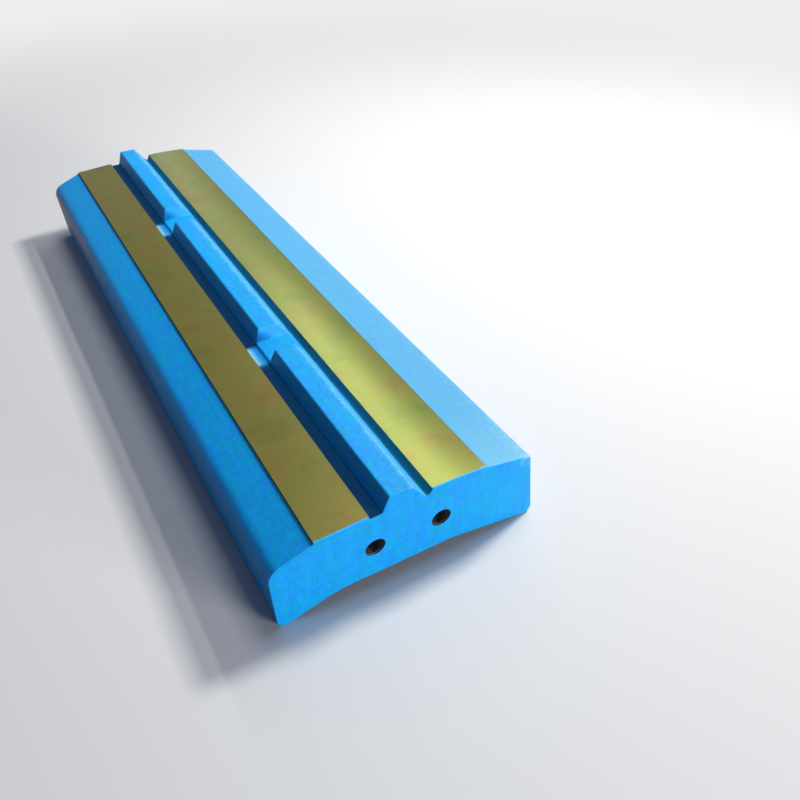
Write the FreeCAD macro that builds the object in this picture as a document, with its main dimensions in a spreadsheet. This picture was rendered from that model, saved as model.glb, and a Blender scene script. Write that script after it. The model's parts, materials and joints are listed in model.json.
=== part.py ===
import FreeCAD, Part
import os
import Sketcher

# Impact crusher blow bar: one casting in white iron, with the locking rib cast on its upper face.
# The section is a shallow arch that stands on two toes. Two machined pads lie beside the rib,
# relief grooves run along its roots, and two drafted notches cut it into three locking keys.
# Millimetres and degrees. Z is up, the length runs along Y, and X runs across the bar.
# The origin lies on the floor, under the middle of the bar.

document = FreeCAD.newDocument("blow_bar")

# Driving dimensions, one row each: name, value, meaning.
DIMENSIONS = [
    ("bar_length", 1000, "length of the bar along the rotor"),
    ("bar_width", 348, "width from the left nose to the right toe, corners unrounded"),
    ("left_pad_height", 121, "height of the left pad's inner edge above the floor"),
    ("right_pad_rise", 2.2, "height of the right pad's inner edge above the left one's"),
    ("pad_fall", 2.4, "fall of both machined pads away from the rib, in degrees"),
    ("left_pad_width", 63, "width of the machined pad left of the rib"),
    ("right_pad_width", 70, "width of the machined pad right of the rib"),
    ("pad_edge_slope", 20, "lean of the machined edges, from vertical, in degrees"),
    ("left_pad_step", 2, "height of the left pad above the cast wing beside it"),
    ("right_pad_step", 1.2, "height of the right pad above the cast wing beside it"),
    ("left_wing_slope", 20, "fall of the left wing towards its nose, in degrees"),
    ("right_wing_slope", 12.3, "fall of the right wing towards its nose, in degrees"),
    ("left_toe_inset", 5, "how far the left toe stands inside the left nose"),
    ("right_nose_inset", 22.5, "how far the right nose stands inside the right toe"),
    ("toe_land_width", 18, "width of the flat foot under each toe, corner unrounded"),
    ("arch_rise", 17, "height of the hollow underside above the floor"),
    ("left_ramp_slope", 16.5, "slope of the underside behind the left toe, in degrees"),
    ("right_ramp_slope", 9.5, "slope of the underside behind the right toe, in degrees"),
    ("rib_offset", 21.5, "how far the middle of the rib's top lies left of the bar's middle"),
    ("rib_top_width", 28, "width of the rib across its top"),
    ("rib_rise", 19, "height of the rib above the left pad's inner edge"),
    ("rib_left_slope", 18, "draft of the rib's left flank, from vertical, in degrees"),
    ("rib_right_slope", 37, "slope of the rib's right flank, from vertical, in degrees"),
    ("left_relief_width", 14, "width of the floor of the groove along the rib's left root"),
    ("left_relief_depth", 3.6, "depth of the left relief groove below the left pad"),
    ("right_relief_depth", 10.4, "depth of the right relief groove below the right pad"),
    ("right_relief_slope", 25, "slope of the right relief groove's outer wall, from vertical"),
    ("notch_offset", 196, "distance from mid-length to the middle of each notch"),
    ("notch_width", 52, "length of each notch at the rib's top"),
    ("notch_wall_slope", 13, "draft of the notch walls, from vertical, in degrees"),
    ("lifting_hole_pitch", 84, "distance between the two lifting holes of an end"),
    ("lifting_hole_offset", 7.7, "how far the pair of lifting holes lies left of the middle"),
    ("lifting_hole_height", 66.5, "height of the lifting holes above the floor"),
    ("lifting_hole_bore", 21, "drilled diameter for the lifting thread"),
    ("lifting_hole_depth", 60, "depth of the drilled lifting hole"),
    ("lifting_hole_mouth", 25, "diameter of the countersink at the mouth"),
    ("lifting_hole_mouth_angle", 90, "included angle of the countersink"),
    ("left_nose_radius", 20, "rounding of the left nose"),
    ("right_nose_radius", 6, "rounding of the right nose"),
    ("toe_radius", 8, "rounding of both toes"),
    ("arch_radius", 120, "rounding where the ramps meet the hollow underside"),
    ("rib_edge_radius", 2.5, "rounding of the edges of the three locking keys"),
    ("rib_root_radius", 3, "rounding at the roots of the rib"),
    ("notch_root_radius", 4, "rounding at the foot of the notch walls"),
    ("end_edge_radius", 1.5, "rounding of the edges round both end faces"),
]

sheet = document.addObject("Spreadsheet::Sheet", "sizes")
for row, (name, value, meaning) in enumerate(DIMENSIONS, start=1):
    sheet.set(f"A{row}", name)
    sheet.set(f"B{row}", str(value))
    sheet.setAlias(f"B{row}", name)
    sheet.set(f"C{row}", meaning)
document.recompute()


def size(text):
    """Value of an expression in the sheet's sizes."""
    return float(sheet.evalExpression(text))


def origin_plane(body, role):
    """The body's own base plane with this role."""
    for feature in body.Origin.OriginFeatures:
        if feature.Role == role:
            return feature
    raise ValueError(f"no origin feature {role}")


def sketch_on(body, role, name):
    """An empty sketch that lies flat on one of the body's own base planes."""
    sketch = body.newObject("Sketcher::SketchObject", name)
    sketch.AttachmentSupport = [(origin_plane(body, role), "")]
    sketch.MapMode = "FlatFace"
    return sketch


def hold_point(sketch, geometry, position, name, across, up):
    """Hold one sketch point at two named distances from the sketch's origin."""
    across_index = sketch.addConstraint(
        Sketcher.Constraint("DistanceX", -1, 1, geometry, position, size(across)))
    sketch.renameConstraint(across_index, f"{name}_across")
    sketch.setExpression(f"Constraints.{name}_across", across)
    up_index = sketch.addConstraint(
        Sketcher.Constraint("DistanceY", -1, 1, geometry, position, size(up)))
    sketch.renameConstraint(up_index, f"{name}_up")
    sketch.setExpression(f"Constraints.{name}_up", up)


def closed_outline(sketch, corners):
    """A closed loop of straight lines through named corners, each held by its own sizes."""
    places = [FreeCAD.Vector(size(across), size(up), 0) for across, up in corners.values()]
    for start, end in zip(places, places[1:] + places[:1]):
        sketch.addGeometry(Part.LineSegment(start, end), False)
    for line in range(len(places)):
        sketch.addConstraint(
            Sketcher.Constraint("Coincident", line, 2, (line + 1) % len(places), 1))
    for line, (name, (across, up)) in enumerate(corners.items()):
        hold_point(sketch, line, 1, name, across, up)


TOUCH = 0.01
MID_LENGTH = 0.5


def edges_where(shape, test):
    """Names of the edges whose both ends and middle pass a test."""
    names = []
    for number, edge in enumerate(shape.Edges, start=1):
        middle = edge.valueAt(edge.FirstParameter + MID_LENGTH * (edge.LastParameter - edge.FirstParameter))
        ends = [vertex.Point for vertex in edge.Vertexes]
        if all(test(point) for point in ends + [middle]):
            names.append(f"Edge{number}")
    return names


def edges_through(shape, corner):
    """Names of the long edges that run through one corner of the section."""
    across, up = (size(text) for text in corner)
    return edges_where(
        shape, lambda point: abs(point.x - across) < TOUCH and abs(point.z - up) < TOUCH)


def rounding(body, name, edge_names, radius):
    """A fillet on the named edges of the body's last feature."""
    base = body.Tip
    fillet = body.newObject("PartDesign::Fillet", name)
    fillet.Base = (base, edge_names)
    fillet.setExpression("Radius", radius)
    document.recompute()
    return fillet


# The casting
bar = document.addObject("PartDesign::Body", "blow_bar")
bar.Label = "blow_bar"

# Across the bar, the rib is set out first: the grooves, pads and wings follow from it.
rib_left = "-sizes.rib_offset - sizes.rib_top_width / 2"
rib_right = "-sizes.rib_offset + sizes.rib_top_width / 2"
left_pad_top = "sizes.left_pad_height"
right_pad_top = f"({left_pad_top} + sizes.right_pad_rise)"
rib_top = f"({left_pad_top} + sizes.rib_rise)"
left_relief_floor = f"({left_pad_top} - sizes.left_relief_depth)"
right_relief_floor = f"({right_pad_top} - sizes.right_relief_depth)"
left_root = f"{rib_left} - ({rib_top} - {left_relief_floor}) * tan(sizes.rib_left_slope)"
right_root = f"{rib_right} + ({rib_top} - {right_relief_floor}) * tan(sizes.rib_right_slope)"
left_relief_outer = f"{left_root} - sizes.left_relief_width"
left_pad_inner = f"{left_relief_outer} - sizes.left_relief_depth * tan(sizes.pad_edge_slope)"
left_pad_outer = f"{left_pad_inner} - sizes.left_pad_width"
left_pad_low = f"({left_pad_top} - sizes.left_pad_width * tan(sizes.pad_fall))"
left_wing_inner = f"{left_pad_outer} - sizes.left_pad_step * tan(sizes.pad_edge_slope)"
left_wing_top = f"({left_pad_low} - sizes.left_pad_step)"
right_pad_inner = f"{right_root} + sizes.right_relief_depth * tan(sizes.right_relief_slope)"
right_pad_outer = f"{right_pad_inner} + sizes.right_pad_width"
right_pad_low = f"({right_pad_top} - sizes.right_pad_width * tan(sizes.pad_fall))"
right_wing_inner = f"{right_pad_outer} + sizes.right_pad_step * tan(sizes.pad_edge_slope)"
right_wing_top = f"({right_pad_low} - sizes.right_pad_step)"
left_nose = "-sizes.bar_width / 2"
left_nose_height = f"{left_wing_top} - ({left_wing_inner} - ({left_nose})) * tan(sizes.left_wing_slope)"
left_toe = f"{left_nose} + sizes.left_toe_inset"
right_toe = "sizes.bar_width / 2"
right_nose = f"{right_toe} - sizes.right_nose_inset"
right_nose_height = f"{right_wing_top} - ({right_nose} - ({right_wing_inner})) * tan(sizes.right_wing_slope)"
left_land_end = f"{left_toe} + sizes.toe_land_width"
left_arch = f"{left_land_end} + sizes.arch_rise / tan(sizes.left_ramp_slope)"
right_land_end = f"{right_toe} - sizes.toe_land_width"
right_arch = f"{right_land_end} - sizes.arch_rise / tan(sizes.right_ramp_slope)"

section_corners = {
    "left_toe": (left_toe, "0"),
    "left_land_end": (left_land_end, "0"),
    "left_arch": (left_arch, "sizes.arch_rise"),
    "right_arch": (right_arch, "sizes.arch_rise"),
    "right_land_end": (right_land_end, "0"),
    "right_toe": (right_toe, "0"),
    "right_nose": (right_nose, right_nose_height),
    "right_wing_inner": (right_wing_inner, right_wing_top),
    "right_pad_outer": (right_pad_outer, right_pad_low),
    "right_pad_inner": (right_pad_inner, right_pad_top),
    "right_root": (right_root, right_relief_floor),
    "rib_right": (rib_right, rib_top),
    "rib_left": (rib_left, rib_top),
    "left_root": (left_root, left_relief_floor),
    "left_relief_outer": (left_relief_outer, left_relief_floor),
    "left_pad_inner": (left_pad_inner, left_pad_top),
    "left_pad_outer": (left_pad_outer, left_pad_low),
    "left_wing_inner": (left_wing_inner, left_wing_top),
    "left_nose": (left_nose, left_nose_height),
}
section = sketch_on(bar, "XZ_Plane", "bar_section")
closed_outline(section, section_corners)

casting = bar.newObject("PartDesign::Pad", "casting")
casting.Profile = section
casting.SideType = "Symmetric"
casting.setExpression("Length", "sizes.bar_length")
document.recompute()

# One notch near the -Y end, as deep as the left pad. Its walls lean outwards, because the
# pattern draws upwards from the sand. The cut is as wide as the rib's roots and goes on above it.
notch_middle = "-sizes.notch_offset"
notch_floor = left_pad_top
notch_cut_top = f"{rib_top} + sizes.rib_rise"
wall_run = "sizes.rib_rise * tan(sizes.notch_wall_slope)"
notch_floor_run = f"(sizes.notch_width / 2 - {wall_run})"
notch_cut_run = f"(sizes.notch_width / 2 + {wall_run})"
notch_profile = sketch_on(bar, "YZ_Plane", "notch_profile")
notch_profile.setExpression("AttachmentOffset.Base.z", f"({left_root} + {right_root}) / 2")
closed_outline(notch_profile, {
    "floor_start": (f"{notch_middle} - {notch_floor_run}", notch_floor),
    "floor_end": (f"{notch_middle} + {notch_floor_run}", notch_floor),
    "top_end": (f"{notch_middle} + {notch_cut_run}", notch_cut_top),
    "top_start": (f"{notch_middle} - {notch_cut_run}", notch_cut_top),
})
notch = bar.newObject("PartDesign::Pocket", "notch")
notch.Profile = notch_profile
notch.SideType = "Symmetric"
notch.setExpression("Length", f"{right_root} - ({left_root})")
document.recompute()

# Two lifting holes in the -Y end, drilled for a thread and countersunk.
hole_places = sketch_on(bar, "XZ_Plane", "lifting_hole_places")
hole_places.setExpression("AttachmentOffset.Base.z", "sizes.bar_length / 2")
for index, (side, sign) in enumerate((("left", "-"), ("right", "+"))):
    across = f"-sizes.lifting_hole_offset {sign} sizes.lifting_hole_pitch / 2"
    centre = FreeCAD.Vector(size(across), size("sizes.lifting_hole_height"), 0)
    hole_places.addGeometry(
        Part.Circle(centre, FreeCAD.Vector(0, 0, 1), size("sizes.lifting_hole_bore / 2")), False)
    bore_index = hole_places.addConstraint(
        Sketcher.Constraint("Diameter", index, size("sizes.lifting_hole_bore")))
    hole_places.renameConstraint(bore_index, f"{side}_bore")
    hole_places.setExpression(f"Constraints.{side}_bore", "sizes.lifting_hole_bore")
    hold_point(hole_places, index, 3, f"{side}_hole", across, "sizes.lifting_hole_height")
document.recompute()

lifting_holes = bar.newObject("PartDesign::Hole", "lifting_holes")
lifting_holes.Profile = hole_places
document.recompute()
lifting_holes.ThreadType = "None"
lifting_holes.DepthType = "Dimension"
lifting_holes.DrillPoint = "Angled"
lifting_holes.HoleCutType = "Countersink"
lifting_holes.setExpression("Diameter", "sizes.lifting_hole_bore")
lifting_holes.setExpression("Depth", "sizes.lifting_hole_depth")
lifting_holes.setExpression("HoleCutDiameter", "sizes.lifting_hole_mouth")
lifting_holes.setExpression("HoleCutCountersinkAngle", "sizes.lifting_hole_mouth_angle")
document.recompute()

# The other half of the bar has the same notch and the same holes.
other_half = bar.newObject("PartDesign::Mirrored", "other_half")
other_half.Originals = [notch, lifting_holes]
other_half.MirrorPlane = (origin_plane(bar, "XZ_Plane"), [""])
bar.Tip = other_half
document.recompute()

# Rounded noses, toes and underside of the arch.
rounding(bar, "left_nose_rounding",
         edges_through(bar.Shape, section_corners["left_nose"]), "sizes.left_nose_radius")
rounding(bar, "right_nose_rounding",
         edges_through(bar.Shape, section_corners["right_nose"]), "sizes.right_nose_radius")
rounding(bar, "toe_rounding",
         edges_through(bar.Shape, section_corners["left_toe"])
         + edges_through(bar.Shape, section_corners["right_toe"]), "sizes.toe_radius")
rounding(bar, "arch_rounding",
         edges_through(bar.Shape, section_corners["left_arch"])
         + edges_through(bar.Shape, section_corners["right_arch"]), "sizes.arch_radius")

# Notch walls run out into the notch floor.
floor_level = size(notch_floor)
notch_feet = [sign * size(f"{notch_middle} {side} {notch_floor_run}")
              for sign in (1, -1) for side in ("-", "+")]
rounding(bar, "notch_root_rounding",
         edges_where(bar.Shape, lambda point: abs(point.z - floor_level) < TOUCH
                     and min(abs(point.y - foot) for foot in notch_feet) < TOUCH),
         "sizes.notch_root_radius")

# The rib's roots run out into the relief grooves.
rounding(bar, "rib_root_rounding",
         edges_through(bar.Shape, section_corners["left_root"])
         + edges_through(bar.Shape, section_corners["right_root"]), "sizes.rib_root_radius")

# The edges round the top of each of the three locking keys.
top_level = size(rib_top)
rounding(bar, "key_edge_rounding",
         edges_where(bar.Shape, lambda point: abs(point.z - top_level) < TOUCH),
         "sizes.rib_edge_radius")

# The outer edges round both end faces. The lifting holes are inner loops and keep their rims.
half_length = size("sizes.bar_length / 2")
end_faces = [face for face in bar.Shape.Faces
             if face.BoundBox.YLength < TOUCH
             and abs(abs(face.BoundBox.Center.y) - half_length) < TOUCH]
end_rims = [edge for face in end_faces for edge in face.OuterWire.Edges]
rounding(bar, "end_edge_rounding",
         [f"Edge{number}" for number, edge in enumerate(bar.Shape.Edges, start=1)
          if any(edge.isSame(rim) for rim in end_rims)],
         "sizes.end_edge_radius")

document.recompute()
for item in document.Objects:
    for state in item.State:
        if state in ("Invalid", "Error"):
            raise RuntimeError(f"{item.Name} is {state}")
if bar.Shape.isNull() or not bar.Shape.isValid() or len(bar.Shape.Solids) != 1:
    raise RuntimeError("the bar is not one valid solid")

os.makedirs("parts", exist_ok=True)
bar.Shape.exportStep(os.path.join("parts", f"{bar.Label}.step"))
print(f"{bar.Label}: volume {bar.Shape.Volume:.0f} cubic mm, faces {len(bar.Shape.Faces)}")
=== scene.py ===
import json
import math

import bmesh
import bpy
from mathutils import Matrix, Vector
from mathutils.geometry import delaunay_2d_cdt


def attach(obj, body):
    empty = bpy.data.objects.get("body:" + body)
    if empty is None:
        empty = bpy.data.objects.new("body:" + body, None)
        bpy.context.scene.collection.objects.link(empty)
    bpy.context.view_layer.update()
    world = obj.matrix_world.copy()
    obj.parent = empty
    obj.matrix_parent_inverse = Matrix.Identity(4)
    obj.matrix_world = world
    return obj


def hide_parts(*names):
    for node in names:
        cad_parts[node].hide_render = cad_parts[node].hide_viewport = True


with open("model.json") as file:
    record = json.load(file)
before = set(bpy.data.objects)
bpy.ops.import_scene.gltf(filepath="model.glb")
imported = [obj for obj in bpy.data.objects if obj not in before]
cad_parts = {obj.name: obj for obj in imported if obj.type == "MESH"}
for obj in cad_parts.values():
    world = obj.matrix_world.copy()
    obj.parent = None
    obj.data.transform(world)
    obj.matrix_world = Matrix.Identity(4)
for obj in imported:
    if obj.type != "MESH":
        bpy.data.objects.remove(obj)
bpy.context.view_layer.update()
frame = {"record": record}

# The casting: a bar of high-chromium white iron, poured in a sand mould. Its section is a
# shallow arch on two toes, with a locking rib and relief grooves on the upper face. Two
# drafted notches cut the rib into three keys. The sand leaves soft waves on every cast face.
MM = 0.001
bar_length = 1000 * MM
bar_width = 348 * MM
left_pad_height = 121 * MM
right_pad_rise = 2.2 * MM
pad_fall = math.tan(math.radians(2.4))
left_pad_width = 63 * MM
right_pad_width = 70 * MM
pad_edge_lean = math.tan(math.radians(20))
right_pad_crown = 0.9 * MM
left_pad_step = 2 * MM
right_pad_step = 1.2 * MM
left_wing_fall = math.tan(math.radians(20))
right_wing_fall = math.tan(math.radians(12.3))
left_toe_inset = 5 * MM
right_nose_inset = 22.5 * MM
toe_land_width = 18 * MM
arch_rise = 17 * MM
left_ramp = math.tan(math.radians(16.5))
right_ramp = math.tan(math.radians(9.5))
rib_offset = 21.5 * MM
rib_top_width = 28 * MM
rib_rise = 19 * MM
rib_left_lean = math.tan(math.radians(18))
rib_right_lean = math.tan(math.radians(37))
left_relief_width = 14 * MM
left_relief_depth = 3.6 * MM
right_relief_depth = 10.4 * MM
right_relief_lean = math.tan(math.radians(25))
notch_offset = 196 * MM
notch_width = 52 * MM
notch_wall_lean = math.tan(math.radians(13))
end_edge_radius = 1.5 * MM

rib_left = -rib_offset - rib_top_width / 2
rib_right = -rib_offset + rib_top_width / 2
rib_top = left_pad_height + rib_rise
right_pad_height = left_pad_height + right_pad_rise
left_relief_floor = left_pad_height - left_relief_depth
right_relief_floor = right_pad_height - right_relief_depth
left_root = rib_left - (rib_top - left_relief_floor) * rib_left_lean
right_root = rib_right + (rib_top - right_relief_floor) * rib_right_lean
left_relief_outer = left_root - left_relief_width
left_pad_inner = left_relief_outer - left_relief_depth * pad_edge_lean
left_pad_outer = left_pad_inner - left_pad_width
left_pad_low = left_pad_height - left_pad_width * pad_fall
left_wing_inner = left_pad_outer - left_pad_step * pad_edge_lean
left_wing_top = left_pad_low - left_pad_step
right_pad_inner = right_root + right_relief_depth * right_relief_lean
right_pad_outer = right_pad_inner + right_pad_width
right_pad_low = right_pad_height - right_pad_width * pad_fall
right_wing_inner = right_pad_outer + right_pad_step * pad_edge_lean
right_wing_top = right_pad_low - right_pad_step
left_nose = -bar_width / 2
left_nose_height = left_wing_top - (left_wing_inner - left_nose) * left_wing_fall
left_toe = left_nose + left_toe_inset
right_toe = bar_width / 2
right_nose = right_toe - right_nose_inset
right_nose_height = right_wing_top - (right_nose - right_wing_inner) * right_wing_fall
left_land_end = left_toe + toe_land_width
right_land_end = right_toe - toe_land_width

# Each corner of the section: across, up, its rounding, and the mesh step of the run after it.
wide_step, plain_step, fine_step, flank_step = 7 * MM, 5.2 * MM, 2.4 * MM, 1.3 * MM
toe_radius, arch_radius = 8 * MM, 120 * MM
left_nose_radius, right_nose_radius = 20 * MM, 6 * MM
rib_root_radius, rib_edge_radius = 3 * MM, 2.5 * MM
sharp = 0
section_corners = [
    (left_toe, 0, toe_radius, wide_step),
    (left_land_end, 0, sharp, wide_step),
    (left_land_end + arch_rise / left_ramp, arch_rise, arch_radius, wide_step),
    (right_land_end - arch_rise / right_ramp, arch_rise, arch_radius, wide_step),
    (right_land_end, 0, sharp, wide_step),
    (right_toe, 0, toe_radius, plain_step),
    (right_nose, right_nose_height, right_nose_radius, plain_step),
    (right_wing_inner, right_wing_top, sharp, fine_step),
    (right_pad_outer, right_pad_low, sharp, plain_step),
    (right_pad_inner, right_pad_height, sharp, fine_step),
    (right_root, right_relief_floor, rib_root_radius, flank_step),
    (rib_right, rib_top, rib_edge_radius, fine_step),
    (rib_left, rib_top, rib_edge_radius, flank_step),
    (left_root, left_relief_floor, rib_root_radius, fine_step),
    (left_relief_outer, left_relief_floor, sharp, fine_step),
    (left_pad_inner, left_pad_height, sharp, plain_step),
    (left_pad_outer, left_pad_low, sharp, fine_step),
    (left_wing_inner, left_wing_top, sharp, plain_step),
    (left_nose, left_nose_height, left_nose_radius, plain_step),
]


def rounded_corner(before, corner, after, radius):
    """Points on the arc that rounds one corner of the section, or the corner alone."""
    if radius == 0:
        return [corner]
    back, onward = (before - corner).normalized(), (after - corner).normalized()
    half = back.angle(onward) / 2
    centre = corner + (back + onward).normalized() * (radius / math.sin(half))
    start = corner + back * (radius / math.tan(half))
    sweep = math.pi - 2 * half
    turn = math.copysign(sweep, (corner - before).cross(after - corner))
    count = max(3, math.ceil(math.degrees(sweep) / arc_step_degrees))
    return [centre + Matrix.Rotation(turn * part / count, 2) @ (start - centre)
            for part in range(count + 1)]


arc_step_degrees = 14
places = [Vector(corner[:2]) for corner in section_corners]
outline = []
for here, (_, _, radius, _) in enumerate(section_corners):
    arc = rounded_corner(places[here - 1], places[here], places[(here + 1) % len(places)], radius)
    if outline:
        run = arc[0] - outline[-1]
        pieces = math.ceil(run.length / section_corners[here - 1][3])
        outline += [outline[-1] + run * (part / pieces) for part in range(1, pieces)]
    outline += arc
run = outline[0] - outline[-1]
pieces = math.ceil(run.length / plain_step)
outline += [outline[-1] + run * (part / pieces) for part in range(1, pieces)]

# The right pad is ground very slightly crowned, which narrows the gleam along it.
for point in outline:
    across_pad = (point.x - right_pad_inner) / right_pad_width
    if 0 < across_pad < 1 and point.y > right_pad_low:
        point.y += right_pad_crown * 4 * across_pad * (1 - across_pad)


# At a sharp corner the direction out of the metal reaches further, at most twice as far.
least_cosine = 0.5


def outward_at(here):
    """The direction out of the metal at one point of the outline."""
    along_in = (outline[here] - outline[here - 1]).normalized()
    along_out = (outline[(here + 1) % len(outline)] - outline[here]).normalized()
    along = (along_in + along_out).normalized()
    return Vector((along.y, -along.x)) / max(along.dot(along_in), least_cosine)


outward = [outward_at(here) for here in range(len(outline))]

# The flat end face keeps a ring of points for the mouth of each lifting hole.
mounts = {mount["name"]: mount for mount in frame["record"]["mounts"]}
hole_places = [Vector((mounts[name]["pos_m"][0], mounts[name]["pos_m"][2]))
               for name in ("near_left_lifting_thread", "near_right_lifting_thread")]
hole_mouth_radius = 12.5 * MM
ring_points = 36
face_step = 5.5 * MM
edge_clearance, hole_clearance = 0.6 * face_step, 0.5 * face_step
face_outline = [point - out * end_edge_radius for point, out in zip(outline, outward)]
rings = [[hole + hole_mouth_radius * Vector((math.cos(angle), math.sin(angle)))
          for angle in (2 * math.pi * part / ring_points for part in range(ring_points))]
         for hole in hole_places]


def inside_metal(point):
    """Whether a point of the end face lies in the section, clear of its edge and the holes."""
    crossings = 0
    for start, end in zip(face_outline, face_outline[1:] + face_outline[:1]):
        if (start.y > point.y) != (end.y > point.y):
            across = start.x + (end.x - start.x) * (point.y - start.y) / (end.y - start.y)
            crossings += across > point.x
    from_edge = min((point - other).length for other in face_outline)
    from_hole = min((point - hole).length for hole in hole_places) - hole_mouth_radius
    return crossings % 2 == 1 and from_edge > edge_clearance and from_hole > hole_clearance


row_step = face_step * 0.87
rows = math.ceil(rib_top / row_step)
columns = math.ceil(bar_width / face_step)
lattice = [Vector((left_nose + (column + row % 2 / 2) * face_step, row * row_step))
           for row in range(rows) for column in range(columns + 1)]
face_points = face_outline + rings[0] + rings[1] + list(filter(inside_metal, lattice))
loops, start = [], 0
for loop in (face_outline, *rings):
    loops += [(start + here, start + (here + 1) % len(loop)) for here in range(len(loop))]
    start += len(loop)
inside_constraints, smallest_gap = 1, 0.0001 * MM
_, _, triangles, *_ = delaunay_2d_cdt(face_points, loops, [], inside_constraints, smallest_gap)
just_inside_mouth = 0.999 * hole_mouth_radius


def in_a_hole(triangle):
    """Whether a triangle of the end face lies inside the mouth of a lifting hole."""
    middle = sum((face_points[corner] for corner in triangle), Vector((0, 0))) / 3
    return min((middle - hole).length for hole in hole_places) < just_inside_mouth


end_face = bpy.data.meshes.new("end_face")
end_face.from_pydata(
    [(point.x, 0, point.y) for point in face_points], [],
    [triangle for triangle in triangles if not in_a_hole(triangle)])
directions = end_face.attributes.new("outward", "FLOAT_VECTOR", "POINT")
for here, out in enumerate(outward):
    directions.data[here].vector = (out.x, 0, out.y)
held = end_face.attributes.new("held", "FLOAT", "POINT")
for here in range(len(outline), len(outline) + 2 * ring_points):
    held.data[here].value = 1

# Stations along the bar: close together at the rounded ends and at the notch walls.
notch_floor_run = notch_width / 2 - rib_rise * notch_wall_lean
station_step, wall_step, wall_reach = 5 * MM, 0.55 * MM, 3.5 * MM
stops = [0]
for half in (-1, 1):
    stops += [half * (notch_offset + side * edge) for side in (-1, 1)
              for edge in (notch_floor_run - wall_reach, notch_width / 2 + wall_reach)]
for inset in (end_edge_radius, end_edge_radius + 1 * MM):
    stops += [inset - bar_length / 2, bar_length / 2 - inset]
stops = sorted(stops)
stations = []
for start, end in zip(stops, stops[1:]):
    on_wall = end - start < 2 * wall_reach + rib_rise * notch_wall_lean + wall_step
    count = math.ceil((end - start) / (wall_step if on_wall else station_step))
    stations += [start + (end - start) * part / count for part in range(count)]
stations.append(stops[-1])
curl = [end_edge_radius * (1 - math.sin(math.radians(angle))) for angle in (22.5, 45, 67.5, 90)]
stations += [side * (bar_length / 2 - from_end) for side in (-1, 1) for from_end in curl]
stations = sorted({round(station, 7) for station in stations})
spine = bpy.data.meshes.new("stations")
spine.from_pydata([(0, station, 0) for station in stations], [], [])
spine_object = bpy.data.objects.new("stations", spine)
bpy.context.scene.collection.objects.link(spine_object)


def linear(text):
    """An sRGB hex colour as linear red, green, blue and alpha."""
    parts = [int(text[place:place + 2], 16) / 255 for place in (1, 3, 5)]
    return [part / 12.92 if part <= 0.04045 else ((part + 0.055) / 1.055) ** 2.4
            for part in parts] + [1]


def add_node(tree, kind, inputs=None, **settings):
    """A node with its settings. Each input gets a value, a link from a socket, or a link from
    another node's first output."""
    made = tree.nodes.new(kind)
    for name, value in settings.items():
        setattr(made, name, value)
    for name, value in (inputs or {}).items():
        socket = made.inputs[name]
        if isinstance(value, bpy.types.Node):
            value = value.outputs[0]
        if isinstance(value, bpy.types.NodeSocket):
            tree.links.new(value, socket)
        else:
            socket.default_value = value
    return made


def new_tree(name, sockets):
    """A geometry tree with named inputs, and its two end nodes."""
    tree = bpy.data.node_groups.new(name, "GeometryNodeTree")
    tree.interface.new_socket("Geometry", in_out="INPUT", socket_type="NodeSocketGeometry")
    for socket, kind in sockets.items():
        tree.interface.new_socket(socket, in_out="INPUT", socket_type=f"NodeSocket{kind}")
    tree.interface.new_socket("Geometry", in_out="OUTPUT", socket_type="NodeSocketGeometry")
    return tree, tree.nodes.new("NodeGroupInput"), tree.nodes.new("NodeGroupOutput")


def grown(mesh, tree, values, name):
    """A plain mesh grown by a geometry tree from a start mesh."""
    host = bpy.data.objects.new(name, mesh)
    bpy.context.scene.collection.objects.link(host)
    modifier = host.modifiers.new(name, "NODES")
    modifier.node_group = tree
    for item in tree.interface.items_tree:
        if item.in_out == "INPUT" and item.name in values:
            modifier[item.identifier] = values[item.name]
    bpy.context.view_layer.update()
    shape = host.evaluated_get(bpy.context.evaluated_depsgraph_get())
    made = bpy.data.meshes.new_from_object(shape)
    bpy.data.objects.remove(host)
    made.name = name
    return made


# Azure enamel, sprayed in thin coats over the sand-cast skin. It keeps the grain of the sand and
# faint streaks along the bar from wiping down. It has a bare, dusty patch on the left side. Light
# is painted into it: a painted sheen on the right wing, a painted highlight on the rib's right
# flank and edge, painted shade in the relief grooves and along the left pad's outer edge, and a
# painted glint at the notches. The sand's grain is drawn at 3 mm, as finer grain wouldn't show.
# (A mix takes its share as input 0, and its two colours as inputs 6 and 7.)
enamel = bpy.data.materials.new("azure_enamel_sprayed_on_sand_casting")
enamel.use_nodes = True
tree = enamel.node_tree
shader = tree.nodes["Principled BSDF"]
where = add_node(tree, "ShaderNodeTexCoord").outputs["Object"]
facing = add_node(tree, "ShaderNodeNewGeometry")
facing_parts = add_node(tree, "ShaderNodeSeparateXYZ", {0: facing.outputs["True Normal"]})
place_parts = add_node(tree, "ShaderNodeSeparateXYZ", {0: where})
coats = add_node(tree, "ShaderNodeTexNoise", {
    "Vector": where, "Scale": 1 / (18 * MM), "Detail": 4.0, "Roughness": 0.62})
coat_ramp = add_node(tree, "ShaderNodeValToRGB", {0: coats})
coat_ramp.color_ramp.elements[0].position = 0.36
coat_ramp.color_ramp.elements[0].color = linear("#00A1DA")
coat_ramp.color_ramp.elements[1].position = 0.66
coat_ramp.color_ramp.elements[1].color = linear("#1095EC")
end_on = add_node(tree, "ShaderNodeMath", {0: facing_parts.outputs["Y"]}, operation="ABSOLUTE")
on_end_face = add_node(tree, "ShaderNodeMath", {0: end_on, 1: 0.7}, operation="GREATER_THAN")
along = add_node(tree, "ShaderNodeMapping", {"Vector": where, "Scale": (300, 7, 300)})
downwards = add_node(tree, "ShaderNodeMapping", {"Vector": where, "Scale": (90, 90, 9)})
streak_place = add_node(tree, "ShaderNodeMix", {
    0: on_end_face, 4: along, 5: downwards}, data_type="VECTOR")
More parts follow.
